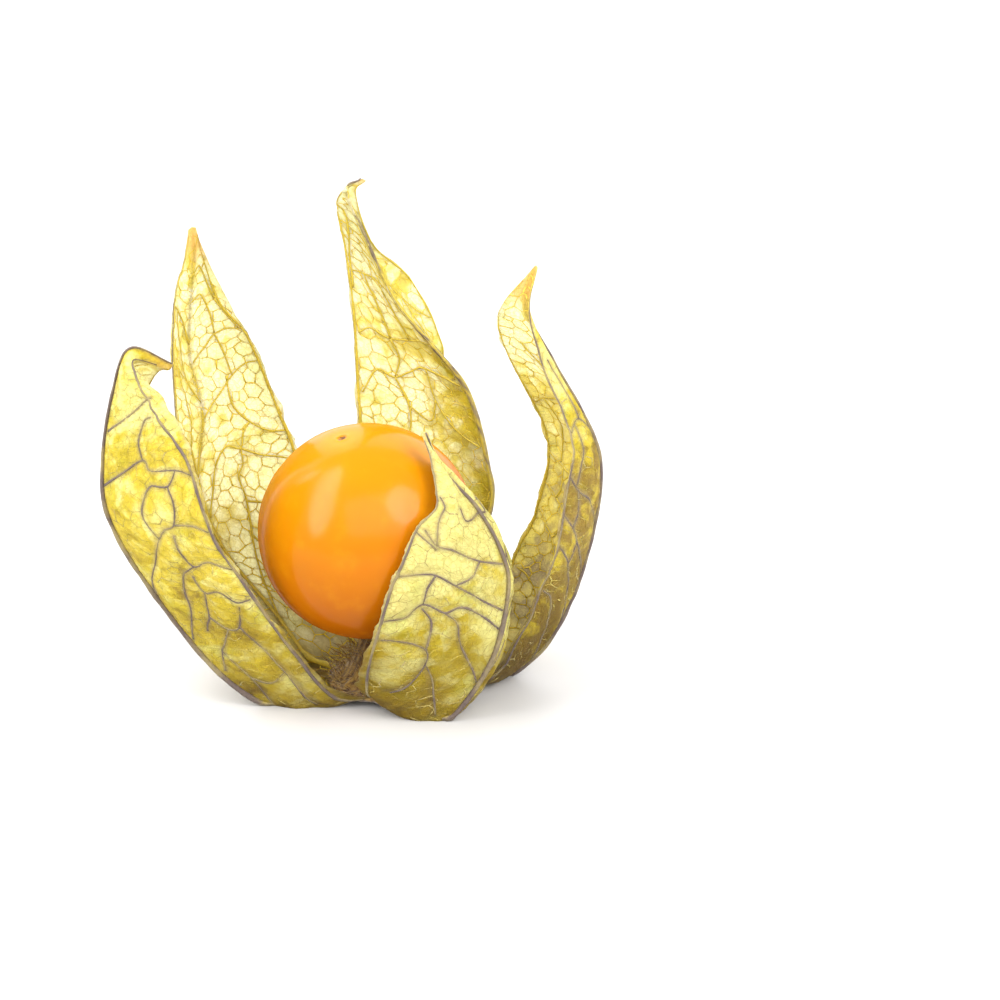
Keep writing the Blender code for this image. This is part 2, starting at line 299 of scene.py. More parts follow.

# %% [markdown]
# ## The veins' courses
#
# The veins make a physalis husk what it is. A thick keel runs up the middle of each sepal and a thinner
# rib along each torn seam. Side veins leave the keel, fork, and join up in loops. Their courses are listed
# one by one, because no rule gives the unhurried way real veins wander. They are pairs of (across, along) in
# hundredths. A half that has no courses of its own takes the other half's, mirrored over the keel.

# %% Courses of the side veins
VEINS = {
    "left": (
        ((52, 68), (66, 71), (84, 76), (90, 77)),
        ((51, 57), (62, 60), (75, 63), (79, 61), (91, 61), (98, 60)),
        ((91, 61), (86, 58), (78, 58), (73, 55), (71, 52), (74, 48)),
        ((74, 48), (70, 46), (64, 43), (54, 39), (51, 37)),
        ((86, 58), (87, 55), (84, 51), (79, 50), (74, 48)),
        ((84, 51), (92, 51), (98, 50)),
        ((82, 49), (81, 46), (83, 43), (91, 44), (98, 42)),
        ((83, 43), (78, 42), (74, 41), (69, 38), (65, 35), (53, 31)),
        ((79, 41), (79, 38), (86, 38), (90, 36), (97, 36)),
        ((79, 38), (75, 36), (72, 34), (68, 33), (65, 32)),
        ((72, 34), (77, 32), (83, 32), (90, 35)),
        ((77, 32), (69, 30), (64, 29), (55, 26)),
        ((83, 32), (87, 27), (86, 20), (80, 12)),
        ((75, 63), (74, 67), (79, 71), (84, 72)),
        ((64, 29), (66, 24), (60, 19), (54, 16)),
        ((66, 24), (74, 22), (86, 23)),
    ),
    "front": (
        ((6, 61), (15, 56), (24, 54), (38, 49), (49, 46)),
        ((2, 48), (10, 48), (17, 47), (26, 42), (38, 37), (49, 34)),
        ((2, 33), (10, 34), (15, 37), (24, 35), (30, 36), (39, 34), (49, 31)),
        ((24, 35), (30, 33), (33, 30), (38, 27), (49, 22)),
        ((3, 29), (13, 29), (21, 28), (23, 25), (20, 20), (14, 17)),
        ((15, 36), (20, 33), (21, 28)),
        ((1, 61), (8, 58), (15, 55)),
        ((23, 25), (29, 22), (34, 19), (42, 15)),
        ((5, 77), (12, 70), (12, 64), (15, 56)),
        ((30, 66), (34, 61), (49, 62)),
        ((17, 47), (15, 42), (15, 37)),
        ((38, 49), (33, 44), (26, 42)),
    ),
    "right": (
        ((3, 68), (12, 69), (28, 69), (49, 66)),
        ((1, 56), (12, 53), (26, 51), (49, 46)),
        ((3, 49), (12, 47), (22, 44), (49, 37)),
        ((2, 44), (10, 42), (18, 40), (28, 36), (49, 29)),
        ((12, 53), (14, 49), (12, 47)),
        ((22, 44), (20, 41), (18, 40)),
        ((4, 33), (14, 32), (28, 27), (49, 20)),
        ((12, 69), (16, 64), (12, 59), (10, 54)),
        ((28, 69), (30, 74), (20, 80)),
    ),
    "back": (
        ((98, 84), (87, 82), (88, 77), (95, 71), (97, 64)),
        ((97, 67), (85, 68), (70, 69), (52, 70)),
        ((97, 57), (90, 58), (80, 57), (68, 58), (52, 60)),
        ((97, 49), (90, 52), (82, 51), (74, 52), (66, 53), (52, 51)),
        ((80, 57), (78, 54), (82, 51)),
        ((82, 51), (78, 47), (80, 43), (90, 40), (98, 40)),
        ((66, 53), (66, 48), (60, 44), (52, 42)),
        ((78, 47), (70, 45), (66, 48)),
        ((80, 43), (76, 36), (66, 32), (52, 28)),
        ((85, 68), (82, 63), (80, 57)),
        ((70, 69), (70, 64), (68, 58)),
        ((48, 74), (33, 69), (26, 67), (12, 65), (2, 64)),
        ((48, 60), (30, 56), (12, 55), (2, 53)),
        ((33, 69), (32, 62), (30, 56)),
        ((48, 46), (30, 41), (12, 40), (2, 37)),
        ((48, 32), (30, 27), (10, 25)),
    ),
    "back_left": (
        ((3, 72), (14, 72), (27, 71), (40, 68), (48, 66)),
        ((2, 65), (12, 64), (23, 62), (31, 60), (43, 57), (49, 55)),
        ((2, 51), (11, 51), (20, 53), (28, 56), (29, 59), (27, 62)),
        ((17, 79), (11, 76), (5, 72)),
        ((20, 53), (25, 51), (27, 48), (34, 49), (38, 48), (41, 46)),
        ((27, 48), (18, 46), (10, 45), (3, 44)),
        ((27, 48), (27, 45), (30, 43), (28, 39), (30, 34), (38, 28), (49, 22)),
        ((28, 39), (18, 38), (10, 36), (3, 35)),
        ((30, 34), (20, 30), (5, 28)),
        ((41, 46), (44, 42), (49, 38)),
        ((27, 71), (27, 76), (34, 80), (48, 79)),
        ((27, 71), (24, 67), (23, 62)),
        ((17, 79), (24, 84), (34, 86), (48, 85)),
        ((51, 70), (62, 74), (78, 76), (96, 76)),
        ((51, 58), (64, 62), (78, 64), (97, 63)),
        ((64, 62), (66, 68), (78, 76)),
        ((51, 45), (66, 50), (80, 52), (97, 51)),
        ((66, 50), (70, 57), (78, 64)),
        ((51, 33), (66, 37), (82, 40), (97, 39)),
    ),
}
LONE_HALVES = ("left", "front", "right")
for name in LONE_HALVES:
    VEINS[name] += tuple(tuple((100 - a, b) for a, b in course) for course in VEINS[name])
print("side veins:", {name: len(courses) for name, courses in VEINS.items()})

# %% [markdown]
# ## Ripples and puckers
#
# Between the veins the tissue has dried and puffed out like a quilt, so a place is lifted by how far it
# lies from the nearest vein. On top of that come long soft ripples, shorter ones and a fine crumple, all
# from Blender's own noise. They die away at the keel, which is too stiff to ripple, and at the root and
# the tip. A k-d tree finds the nearest vein quickly.

# %% Relief of the sheet
PUFF, PUFF_REACH = 0.32, 0.9
RIPPLE, STIFFNESS_REACH = 0.34, 1.1
# Each wave's length across and along the lobe, its share of the ripple, and a shift of its own.
WAVES = (
    (3.4, 7.5, 1.0, (0.0, 0.0)),
    (1.3, 2.4, 0.35, (9.0, 0.0)),
    (0.7, 0.9, 0.2, (0.0, 20.0)),
)
ROOT_CALM, TIP_CALM = 0.12, 0.08
COURSE_STEP, LEAST_PLACES, STRAIGHT_PLACES = 0.35, 4, 90
KEEL, TORN_EDGES = 0.5, (0.0, 1.0)


def course_places(lobe, course):
    """Shares across and along at even steps of a vein's smooth course."""
    course = np.array(course) / 100
    side, rise = flat_place(lobe, course[:, 0], course[:, 1])
    length = np.hypot(np.diff(side), np.diff(rise)).sum()
    share = np.linspace(0.0, 1.0, max(LEAST_PLACES, int(length / COURSE_STEP)))
    return through_points(course, share)


def straight_course(across, start, end):
    """A course that keeps one share across, such as the keel's."""
    along = np.linspace(start, end, STRAIGHT_PLACES)
    return np.column_stack([np.full_like(along, across), along])


def hump(gap, width):
    """1 where the gap is nothing, falling smoothly to 0 over a width or two."""
    return math.exp(-((gap / width) ** 2))


def lay_out_veins(lobe, courses):
    """Gives a lobe its side veins as places, and a k-d tree of all of them in the flat pattern."""
    lobe["courses"] = [course_places(lobe, course) for course in courses]
    all_places = [*lobe["courses"], *(straight_course(a, 0.0, 1.0) for a in (KEEL, *TORN_EDGES))]
    side, rise = flat_place(lobe, *np.vstack(all_places).T)
    tree = KDTree(len(side))
    for i, (s, r) in enumerate(zip(side, rise)):
        tree.insert((s, r, 0.0), i)
    tree.balance()
    lobe["tree"] = tree


def relief(lobe, across, along):
    """How far, in millimetres, the husk stands out from its smooth shape at each place."""
    seed = lobe["heading"]
    lifts = np.empty(len(along))
    side, rise = flat_place(lobe, across, along)
    for i, (s, r) in enumerate(zip(side, rise)):
        gap = lobe["tree"].find((s, r, 0.0))[2]
        puff = PUFF * (1.0 - hump(gap, PUFF_REACH))
        slack = 1.0 - hump(s, STIFFNESS_REACH)
        ripple = sum(
            part * noise.noise((s / wide + shift[0], r / high + shift[1], seed))
            for wide, high, part, shift in WAVES
        )
        lifts[i] = puff + RIPPLE * slack * ripple
    calm = np.clip(along / ROOT_CALM, 0, 1) * np.clip((1.0 - along) / TIP_CALM, 0, 1)
    return lifts * calm


for name, lobe in LOBES.items():
    lay_out_veins(lobe, VEINS[name])
print("vein places on the left lobe:", sum(len(c) for c in LOBES["left"]["courses"]))

# %% [markdown]
# ## The sheets
#
# Each sheet starts as a flat grid. Every corner of the grid looks up its place on the lobe and moves there.
# The torn edges are frayed by letting the outermost corners stray a little. A Solidify modifier gives the
# paper its thickness, inward, so that the outer face stays where the curves put it.
#
# Four attributes go along for the paint: `across` and `along` are the place's shares, `root` is 1 where
# the lobe leaves the base, and `puff` tells how far a place is from its nearest vein.

# %% Build the sheets
SHEET_ACROSS, SHEET_ALONG = 110, 200
SHEET_THICKNESS = 0.1
ROOT_WIDENING, ROOT_WIDENING_REACH = 0.13, 0.16
# How much of the pattern's own unit a millimetre of the flat pattern takes up.
FLAT_SCALE = 0.02
# Tears and threads: how far they stray in shares across, how many there are, and a seed for each edge.
FRAYS = ((0.026, 22.0, (5.0, 1.0)), (0.006, 90.0, (7.0, 3.0)))
FRAYED_PART = 0.2
ROOT_REACH, PUFF_MARK_REACH = 0.55, 2.0


def fray(lobe, across, along):
    """Shares across with the torn edges made ragged, and widened near the root to meet the next lobe."""
    out = np.abs(across - KEEL) * 2.0
    seed = lobe["heading"]
    strays = np.array([
        sum(far * noise.noise((r * often, seed, sides[0 if a > KEEL else 1])) for far, often, sides in FRAYS)
        for a, r in zip(across, along)
    ])
    near_edge = np.clip((out - (1.0 - FRAYED_PART)) / FRAYED_PART, 0, 1)
    widening = ROOT_WIDENING * np.exp(-((along / ROOT_WIDENING_REACH) ** 2)) * out
    return across + np.sign(across - KEEL) * (strays * near_edge + widening)


def husk_points(lobe, across, along, depth=0.0):
    """Points on a lobe with its relief, in millimetres, at a depth below the outer face."""
    points, outward = lobe_places(lobe, across, along)
    lift = relief(lobe, across, along) - depth
    points = points + outward * lift[:, None]
    points[:, 2] = np.maximum(points[:, 2], 0.0)
    return points


def new_object(name, bm):
    """A smooth-shaded object made from a bmesh."""
    mesh = bpy.data.meshes.new(name)
    bm.to_mesh(mesh)
    bm.free()
    mesh.shade_smooth()
    thing = bpy.data.objects.new(name, mesh)
    bpy.context.scene.collection.objects.link(thing)
    return thing


def add_attribute(mesh, name, values):
    """A number at every vertex, for the materials to read."""
    attribute = mesh.attributes.new(name, "FLOAT", "POINT")
    attribute.data.foreach_set("value", np.asarray(values, dtype=np.float32))


def read_attribute(mesh, name):
    """The numbers that the vertices carry, as an array."""
    values = np.empty(len(mesh.vertices), dtype=np.float32)
    mesh.attributes[name].data.foreach_get("value", values)
    return values


def build_sheet(name, lobe):
    bm = bmesh.new()
    bmesh.ops.create_grid(bm, x_segments=SHEET_ACROSS, y_segments=SHEET_ALONG, size=0.5)
    shares = np.array([vert.co[:2] for vert in bm.verts]) + 0.5
    across, along = shares.T
    side, rise = flat_place(lobe, across, along)
    places = husk_points(lobe, fray(lobe, across, along), along) * MM
    pattern = bm.loops.layers.uv.new("flat pattern")
    for vert, place in zip(bm.verts, places):
        vert.co = place
    flat = np.column_stack([side * FLAT_SCALE + 0.5, rise * FLAT_SCALE])
    bm.verts.index_update()
    for face in bm.faces:
        for loop in face.loops:
            loop[pattern].uv = flat[loop.vert.index]
    sheet = new_object(f"{name}_lobe", bm)
    gaps = [lobe["tree"].find((s, r, 0.0))[2] for s, r in zip(side, rise)]
    add_attribute(sheet.data, "root", np.clip(1.0 - along / ROOT_REACH, 0, 1))
    add_attribute(sheet.data, "puff", np.clip(np.array(gaps) / PUFF_MARK_REACH, 0, 1))
    add_attribute(sheet.data, "across", across)
    add_attribute(sheet.data, "along", along)
    paper = sheet.modifiers.new("paper thickness", "SOLIDIFY")
    paper.thickness = SHEET_THICKNESS * MM
    paper.offset = -1.0
    paper.material_offset = 1
    return sheet


sheets = {name: build_sheet(name, lobe) for name, lobe in LOBES.items()}
print("faces in each sheet:", len(sheets["left"].data.polygons))

# %% [markdown]
# ## The veins as cords
#
# A vein is a tough round strand set in the paper, so it stands out on both faces. Each one is a strand of a
# curve object, which Blender rounds by itself, and the points of the strand follow the sheet's relief at
# a depth below its outer face; the keel stands just outside it. The strands get thinner towards their
# ends and are a little knotty. Then the curve is turned into a mesh.
#
# Finer strands fill the space between the side veins. In the real net three strands meet at every knot.
# A Delaunay triangulation of scattered points gives just that: each triangle has three neighbours, so
# strands from the middle of each triangle to the middles of its neighbours make the net.

# %% Build the veins
KEEL_RADIUS, RIB_RADIUS, VEIN_RADIUS, NET_RADIUS = 0.3, 0.18, 0.12, 0.076
KEEL_DEPTH, VEIN_DEPTH, NET_DEPTH = -0.1, 0.05, 0.062
NET_CELL, NET_SHAKE, NET_STEPS, NET_WIDTHS = 1.3, 0.46, 4, (0.8, 1.15)
KNOTTY, KNOTS_PER_MM = 0.35, 0.7
NET_SEED, NET_MERGE_GAP = 40, 1e-6
VEIN_ROUNDNESS, FINE_ROUNDNESS, STRAND_MERGE_GAP = 1, 0, 1e-7
MARK_BLEND = 0.1


def add_strand(curve, lobe, places, radii, depth=VEIN_DEPTH):
    """One round strand along places on a lobe; radii in millimetres, from its start to its end."""
    points = husk_points(lobe, places[:, 0], places[:, 1], depth)
    widths = np.interp(np.linspace(0, 1, len(points)), *radii)
    widths *= [1.0 + KNOTTY * noise.noise(Vector(point) * KNOTS_PER_MM) for point in points]
    points[:, 2] = np.maximum(points[:, 2], widths)
    strand = curve.splines.new("POLY")
    strand.points.add(len(points) - 1)
    homogeneous = np.column_stack([points * MM, np.ones(len(points))])
    strand.points.foreach_set("co", homogeneous.ravel())
    strand.points.foreach_set("radius", widths)


def curve_to_mesh(name, curve, roundness):
    """Turns strands into a closed mesh object with the strands' thickness."""
    curve.dimensions = "3D"
    curve.bevel_depth = MM
    curve.bevel_resolution = roundness
    curve.use_fill_caps = True
    shaped = bpy.data.objects.new(name, curve)
    bpy.context.scene.collection.objects.link(shaped)
    view = bpy.context.evaluated_depsgraph_get()
    mesh = bpy.data.meshes.new_from_object(shaped.evaluated_get(view))
    bpy.data.objects.remove(shaped)
    bpy.data.curves.remove(curve)
    bm = bmesh.new()
    bm.from_mesh(mesh)
    bpy.data.meshes.remove(mesh)
    bmesh.ops.remove_doubles(bm, verts=bm.verts, dist=STRAND_MERGE_GAP)
    bmesh.ops.recalc_face_normals(bm, faces=bm.faces)
    return new_object(name, bm)


def mark_outer_side(thing, sheet):
    """Marks with 1 the part of a strand that stands out of the sheet's outer face, with 0 the rest."""
    tree = BVHTree.FromPolygons(
        [v.co for v in sheet.data.vertices], [p.vertices[:] for p in sheet.data.polygons]
    )
    marks = []
    for vert in thing.data.vertices:
        spot, normal, _, _ = tree.find_nearest(vert.co)
        above = (vert.co - spot).dot(normal) / MM + 0.5 * SHEET_THICKNESS
        marks.append(min(max(0.5 + above / MARK_BLEND, 0.0), 1.0))
    add_attribute(thing.data, "outer", marks)


# The rib of a torn seam runs along the edge, except where a strip of the next sepal came away with it.
EDGE = 0.012
RIBS = {
    "left": (
        (1.0 - EDGE, 0.0), (0.99, 0.3), (0.985, 0.58), (0.95, 0.67), (0.87, 0.76), (0.87, 0.86), (0.93, 0.96),
    ),
    "back_left": (
        (EDGE, 0.0), (EDGE, 0.35), (0.02, 0.66), (0.02, 0.72), (0.13, 0.79), (0.13, 0.88), (0.05, 0.97),
    ),
}
KEEL_END, RIB_END = 0.995, 0.97
# Thickness along a keel or a rib, as parts of its radius, at these shares of its length.
TAPER_PLACES = (0.0, 0.06, 0.55, 1.0)
KEEL_TAPER, RIB_TAPER, VEIN_TAPER = (0.7, 1.0, 0.75, 0.22), (0.7, 1.0, 0.8, 0.3), 0.75


def rib_courses(name):
    straight = [straight_course(across, 0.0, RIB_END) for across in (EDGE, 1.0 - EDGE)]
    if name not in RIBS:
        return straight
    strayed = through_points(np.array(RIBS[name]), np.linspace(0, 1, STRAIGHT_PLACES))
    kept = straight[0] if RIBS[name][0][0] > KEEL else straight[1]
    return [kept, strayed]


def build_main_veins(name, lobe):
    curve = bpy.data.curves.new(name, "CURVE")
    keel = [KEEL_RADIUS * share for share in KEEL_TAPER]
    add_strand(curve, lobe, straight_course(KEEL, 0.0, KEEL_END), (TAPER_PLACES, keel), KEEL_DEPTH)
    rib = [RIB_RADIUS * share for share in RIB_TAPER]
    for course in rib_courses(name):
        add_strand(curve, lobe, course, (TAPER_PLACES, rib))
    for places in lobe["courses"]:
        start_gap, end_gap = abs(places[0, 0] - KEEL), abs(places[-1, 0] - KEEL)
        thick, thin = VEIN_RADIUS, VEIN_TAPER * VEIN_RADIUS
        radii = (thick, thin) if start_gap < end_gap else (thin, thick)
        add_strand(curve, lobe, places, ((0.0, 1.0), radii))
    return curve_to_mesh(f"{name}_veins", curve, VEIN_ROUNDNESS)


def scattered_sites(lobe, dice):
    """Points scattered evenly over the flat pattern, a net's cell apart."""
    reach = np.abs(lobe["side"]).max() + NET_CELL
    rows = int(lobe["rise"][-1] / NET_CELL) + 2
    columns = int(reach / NET_CELL) + 1
    return [
        Vector((column + 0.5 * (row % 2) + dice.uniform(-1, 1) * NET_SHAKE,
                row + dice.uniform(-1, 1) * NET_SHAKE)) * NET_CELL
        for row in range(rows)
        for column in range(-columns, columns + 1)
    ]


def build_net(name, lobe, dice):
    """The fine net, between the middles of neighbouring triangles."""
    sites = scattered_sites(lobe, dice)
    corners, _, triangles, *_ = geometry.delaunay_2d_cdt(sites, [], [], 0, NET_MERGE_GAP)
    knots = [sum((corners[i] for i in triangle), Vector((0, 0))) / 3 for triangle in triangles]
    sides = {}
    for number, triangle in enumerate(triangles):
        for pair in zip(triangle, (*triangle[1:], triangle[0])):
            sides.setdefault(frozenset(pair), []).append(number)
    curve = bpy.data.curves.new(name, "CURVE")
    for pair in sides.values():
        ends = [place_of(lobe, *knots[number]) for number in pair]
        if len(ends) == 2 and all(ends):
            width = NET_RADIUS * dice.uniform(*NET_WIDTHS)
            add_strand(curve, lobe, np.linspace(*ends, NET_STEPS), ((0.0, 1.0), (width, width)), NET_DEPTH)
    return curve_to_mesh(f"{name}_net", curve, FINE_ROUNDNESS)


main_veins, nets = {}, {}
for number, (name, lobe) in enumerate(LOBES.items()):
    main_veins[name] = build_main_veins(name, lobe)
    nets[name] = build_net(name, lobe, random.Random(NET_SEED + number))
    for strands in (main_veins[name], nets[name]):
        mark_outer_side(strands, sheets[name])
    counts = [len(strands.data.polygons) for strands in (main_veins[name], nets[name])]
    print(f"{name}: {counts[0]} vein faces, {counts[1]} net faces")

# %% [markdown]
# ## Small tools for materials
#
# Blender's materials are graphs of nodes. Building a graph by hand takes many lines, so a few helpers do
# the wiring: `put` adds one node and fills its sockets, `mix` blends two colours, `steer` turns a number
# in one range into another, and `sums`, `attribute` and `cloud` give a sum, an attribute and a noise.
# `bumps` makes a surface look raised, and `close_solid` and `close_thin` end a graph.

# %% Helpers for node graphs
def new_paint(name):
    """An empty material and its node tree."""
    paint = bpy.data.materials.new(name)
    paint.use_nodes = True
    paint.node_tree.nodes.clear()
    return paint, paint.node_tree


def put(tree, kind, sockets=None, **settings):
    """Adds a node; a socket gets either a value or another node's output."""
    node = tree.nodes.new("ShaderNode" + kind)
    for key, value in settings.items():
        setattr(node, key, value)
    for key, value in (sockets or {}).items():
        if isinstance(value, bpy.types.NodeSocket):
            tree.links.new(value, node.inputs[key])
        else:
            node.inputs[key].default_value = value
    return node


def mix(tree, factor, first, second, blend="MIX"):
    """Colour from first to second as the factor goes from 0 to 1."""
    blender = put(tree, "Mix", data_type="RGBA", blend_type=blend)
    for socket, value in zip((0, 6, 7), (factor, first, second)):
        if isinstance(value, bpy.types.NodeSocket):
            tree.links.new(value, blender.inputs[socket])
        else:
            blender.inputs[socket].default_value = value
    return blender.outputs[2]


def steer(tree, value, start, end, low=0.0, high=1.0):
    """The value's range from start to end, turned into low to high and held there."""
    sockets = {0: value, 1: start, 2: end, 3: low, 4: high}
    return put(tree, "MapRange", sockets, interpolation_type="SMOOTHSTEP").outputs[0]


def sums(tree, operation, first, second):
    """A Math node's result."""
    return put(tree, "Math", {0: first, 1: second}, operation=operation).outputs[0]


def attribute(tree, name):
    return put(tree, "Attribute", attribute_name=name).outputs["Fac"]


def cloud(tree, coordinates, scale, detail=3.0):
    """Blender's noise, from 0 to 1, about 0.5."""
    return put(tree, "TexNoise", {"Vector": coordinates, "Scale": scale, "Detail": detail}).outputs["Fac"]


def swayed(tree, value, texture, amount):
    """The value, raised or lowered by up to an amount where a noise is high or low."""
    return sums(tree, "ADD", value, steer(tree, texture, 0.3, 0.7, -amount, amount))


def bumps(tree, heights, strength, depth):
    """Normals as if the surface rose by a depth, in millimetres, where the heights are 1."""
    sockets = {"Strength": strength, "Distance": depth * MM, "Height": heights}
    return put(tree, "Bump", sockets).outputs[0]


def close_solid(tree, surface):
    """Ends a graph with an ordinary surface."""
    put(tree, "OutputMaterial", {"Surface": put(tree, "BsdfPrincipled", surface).outputs[0]})


def close_thin(tree, surface, glow, share):
    """Ends a graph with an ordinary surface that lets a share of the light through to the far side."""
    solid = put(tree, "BsdfPrincipled", surface).outputs[0]
    through = put(tree, "BsdfTranslucent", glow).outputs[0]
    both = put(tree, "MixShader", {0: share, 1: solid, 2: through}).outputs[0]
    put(tree, "OutputMaterial", {"Surface": both})


def rgb(red, green, blue):
    """A colour given as a painter reads it, from 0 to 255, in the linear light that Blender reckons in."""
    shares = [channel / 255 for channel in (red, green, blue)]
    linear = [s / 12.92 if s <= 0.04045 else ((s + 0.055) / 1.055) ** 2.4 for s in shares]
    return (*linear, 1.0)


# %% [markdown]
# ## The paper of the husk
#
# Dry husk lets light through, so a lobe glows where a lamp stands behind it. The material is one part an
# ordinary surface and nearly two parts a Translucent one, which passes light from the far side. Its colour
# starts at pale cream and goes to deep straw yellow and bronze, more in some panels than in others; on the
# right lobe, the back lobe's first half and the low husk that deeper yellow and bronze is partly painted
# shade. The inside faces start paler than the outside, partly as painted light for the glow through the
# lobes. Every little field between the veins has a tint of its own, from a Voronoi pattern's cells, and the
# seams of two finer Voronoi patterns draw the smallest veins. The paper is dusky along the veins, brown and
# downy at the root, where the brown is partly painted shade, and scorched orange at the point.

# %% Husk paper
MM_PER_PATTERN_UNIT = 1.0 / FLAT_SCALE
CREAM, STRAW, IVORY = rgb(250, 248, 168), rgb(228, 210, 48), rgb(255, 255, 238)
# The bronze is partly painted shade, on the right lobe and at the roots.
BRONZE_AND_SHADE, SCORCHED, OLIVE = rgb(150, 118, 30), rgb(232, 184, 80), rgb(208, 190, 78)
# The downy brown is partly painted shade, darkening the low husk near the root.
DOWNY_AND_ROOT_SHADE, HALO = rgb(184, 166, 126), rgb(178, 162, 134)
LEAF, BARK = rgb(216, 232, 150), rgb(112, 88, 40)
LIGHT_THROUGH_PAPER = 0.64
# How many features of each texture there are in a millimetre of the flat pattern.
PER_MM = {
    "blotches": 0.16, "green": 0.35, "wander": 0.5, "streaks": 0.5, "fields": 0.55,
    "flecks": 0.9, "middle net": 1.9, "grain": 2.6, "fine net": 3.6,
}
WANDER_PUSH, MIDDLE_SEAM, FINE_SEAM = 0.012, 0.1, 0.12
# How far blotches, fields and flecks change the depth of the yellow, and blotches the root and the tip.
BLOTCHED, FIELDED, FLECKED, ROOT_BLOTCHED, TIP_BLOTCHED = 0.34, 0.3, 0.34, 0.15, 0.25
# How strongly green, bark streaks, scorch and grain colour the paper.
GREENED, STREAKED, SCORCHED_MOST, GRAINED = 0.4, 0.75, 0.9, 0.28


def scale_of(texture):
    """The scale that gives a texture its features in each millimetre of the flat pattern."""
    return PER_MM[texture] * MM_PER_PATTERN_UNIT


def seams(tree, coordinates, scale, width):
    """1 on the seams of a Voronoi pattern, 0 away from them; the width is in parts of a cell."""
    sockets = {"Vector": coordinates, "Scale": scale}
    gap = put(tree, "TexVoronoi", sockets, feature="DISTANCE_TO_EDGE").outputs["Distance"]
    return steer(tree, gap, 0.0, width, 1.0, 0.0)


def shaken(tree, coordinates, scale, amount):
    """Coordinates pushed about by noise, so that straight seams wander."""
    sockets = {"Vector": coordinates, "Scale": scale}
    push = put(tree, "TexNoise", sockets).outputs["Color"]
    centred = put(tree, "VectorMath", {0: push, 1: (0.5, 0.5, 0.5)}, operation="SUBTRACT").outputs[0]
    scaled = put(tree, "VectorMath", {0: centred, "Scale": amount}, operation="SCALE").outputs[0]
    return put(tree, "VectorMath", {0: coordinates, 1: scaled}, operation="ADD").outputs[0]


def paper_depth_and_shade(tree, wander, blotch):
    """How strong the paper's yellow is: the lobe's own depth, partly painted shade, with blotches, fields and
    flecks.
    """
    fields = put(tree, "TexVoronoi", {"Vector": wander, "Scale": scale_of("fields")}).outputs["Color"]
    tint = put(tree, "SeparateColor", {0: fields}).outputs[0]
    fleck = cloud(tree, wander, scale_of("flecks"), 6.0)
    depth = swayed(tree, attribute(tree, "deep_and_shade"), blotch, BLOTCHED)
    depth = sums(tree, "ADD", depth, steer(tree, tint, 0.0, 1.0, -FIELDED, FIELDED))
    return swayed(tree, depth, fleck, FLECKED)


def weather_and_shade_paper(tree, colour, wander, blotch, grain):
    """The paper's colour with down and painted shade at the root, bark streaks there, scorch at the point,
    and grain all over.
    """
    rooted = swayed(tree, attribute(tree, "root"), blotch, ROOT_BLOTCHED)
    # Browner towards the root: partly down, partly painted shade on the low husk.
    colour = mix(tree, steer(tree, rooted, 0.2, 0.9), colour, DOWNY_AND_ROOT_SHADE, "MULTIPLY")
    grown = put(tree, "Mapping", {"Vector": wander, "Scale": (5.0, 1.0, 1.0)}).outputs[0]
    streak = cloud(tree, grown, scale_of("streaks"), 6.0)
    streaked = sums(tree, "MULTIPLY", steer(tree, rooted, 0.5, 1.0), steer(tree, streak, 0.42, 0.62))
    colour = mix(tree, sums(tree, "MULTIPLY", streaked, STREAKED), colour, BARK)
    tipped = swayed(tree, attribute(tree, "tip"), blotch, TIP_BLOTCHED)
    colour = mix(tree, steer(tree, tipped, 0.3, 1.0, 0.0, SCORCHED_MOST), colour, SCORCHED)
    return mix(tree, steer(tree, grain, 0.35, 0.75, 0.0, GRAINED), colour, OLIVE, "MULTIPLY")


def make_husk_paper(name, palest, net_strength, halo_strength, glow_paleness):
    paint, tree = new_paint(name)
    pattern = put(tree, "UVMap", uv_map="flat pattern").outputs["UV"]
    wander = shaken(tree, pattern, scale_of("wander"), WANDER_PUSH)
    blotch = cloud(tree, pattern, scale_of("blotches"))
    grain = cloud(tree, pattern, scale_of("grain"), 5.0)
    green = cloud(tree, pattern, scale_of("green"), 4.0)
    middle_net = seams(tree, wander, scale_of("middle net"), MIDDLE_SEAM)
    fine_net = seams(tree, wander, scale_of("fine net"), FINE_SEAM)

    depth = paper_depth_and_shade(tree, wander, blotch)
    # Deeper yellow and bronze, partly painted shade on the shaded panels and the low husk.
    colour = mix(tree, steer(tree, depth, 0.0, 1.0), palest, STRAW)
    colour = mix(tree, steer(tree, depth, 0.9, 2.0), colour, BRONZE_AND_SHADE)
    colour = mix(tree, steer(tree, green, 0.48, 0.75, 0.0, GREENED), colour, LEAF, "MULTIPLY")
    for net, share in ((middle_net, 1.0), (fine_net, 0.4)):
        colour = mix(tree, sums(tree, "MULTIPLY", net, share * net_strength), colour, OLIVE)
    near_vein = steer(tree, attribute(tree, "puff"), 0.02, 0.23, halo_strength, 0.0)
    colour = mix(tree, near_vein, colour, HALO)
    colour = weather_and_shade_paper(tree, colour, wander, blotch, grain)

    heights = sums(tree, "MULTIPLY", middle_net, 0.6)
    for texture, share in ((fine_net, 0.3), (grain, 0.3)):
        heights = sums(tree, "ADD", heights, sums(tree, "MULTIPLY", texture, share))
    bump = bumps(tree, heights, 0.7, 0.08)
    surface = {"Base Color": colour, "Roughness": 0.6, "Normal": bump, "Specular IOR Level": 0.25}
    glow = {"Color": mix(tree, glow_paleness, colour, IVORY), "Normal": bump}
    close_thin(tree, surface, glow, LIGHT_THROUGH_PAPER)
    return paint


husk_outside = make_husk_paper("husk_paper_outside", CREAM, 0.3, 0.6, 0.4)
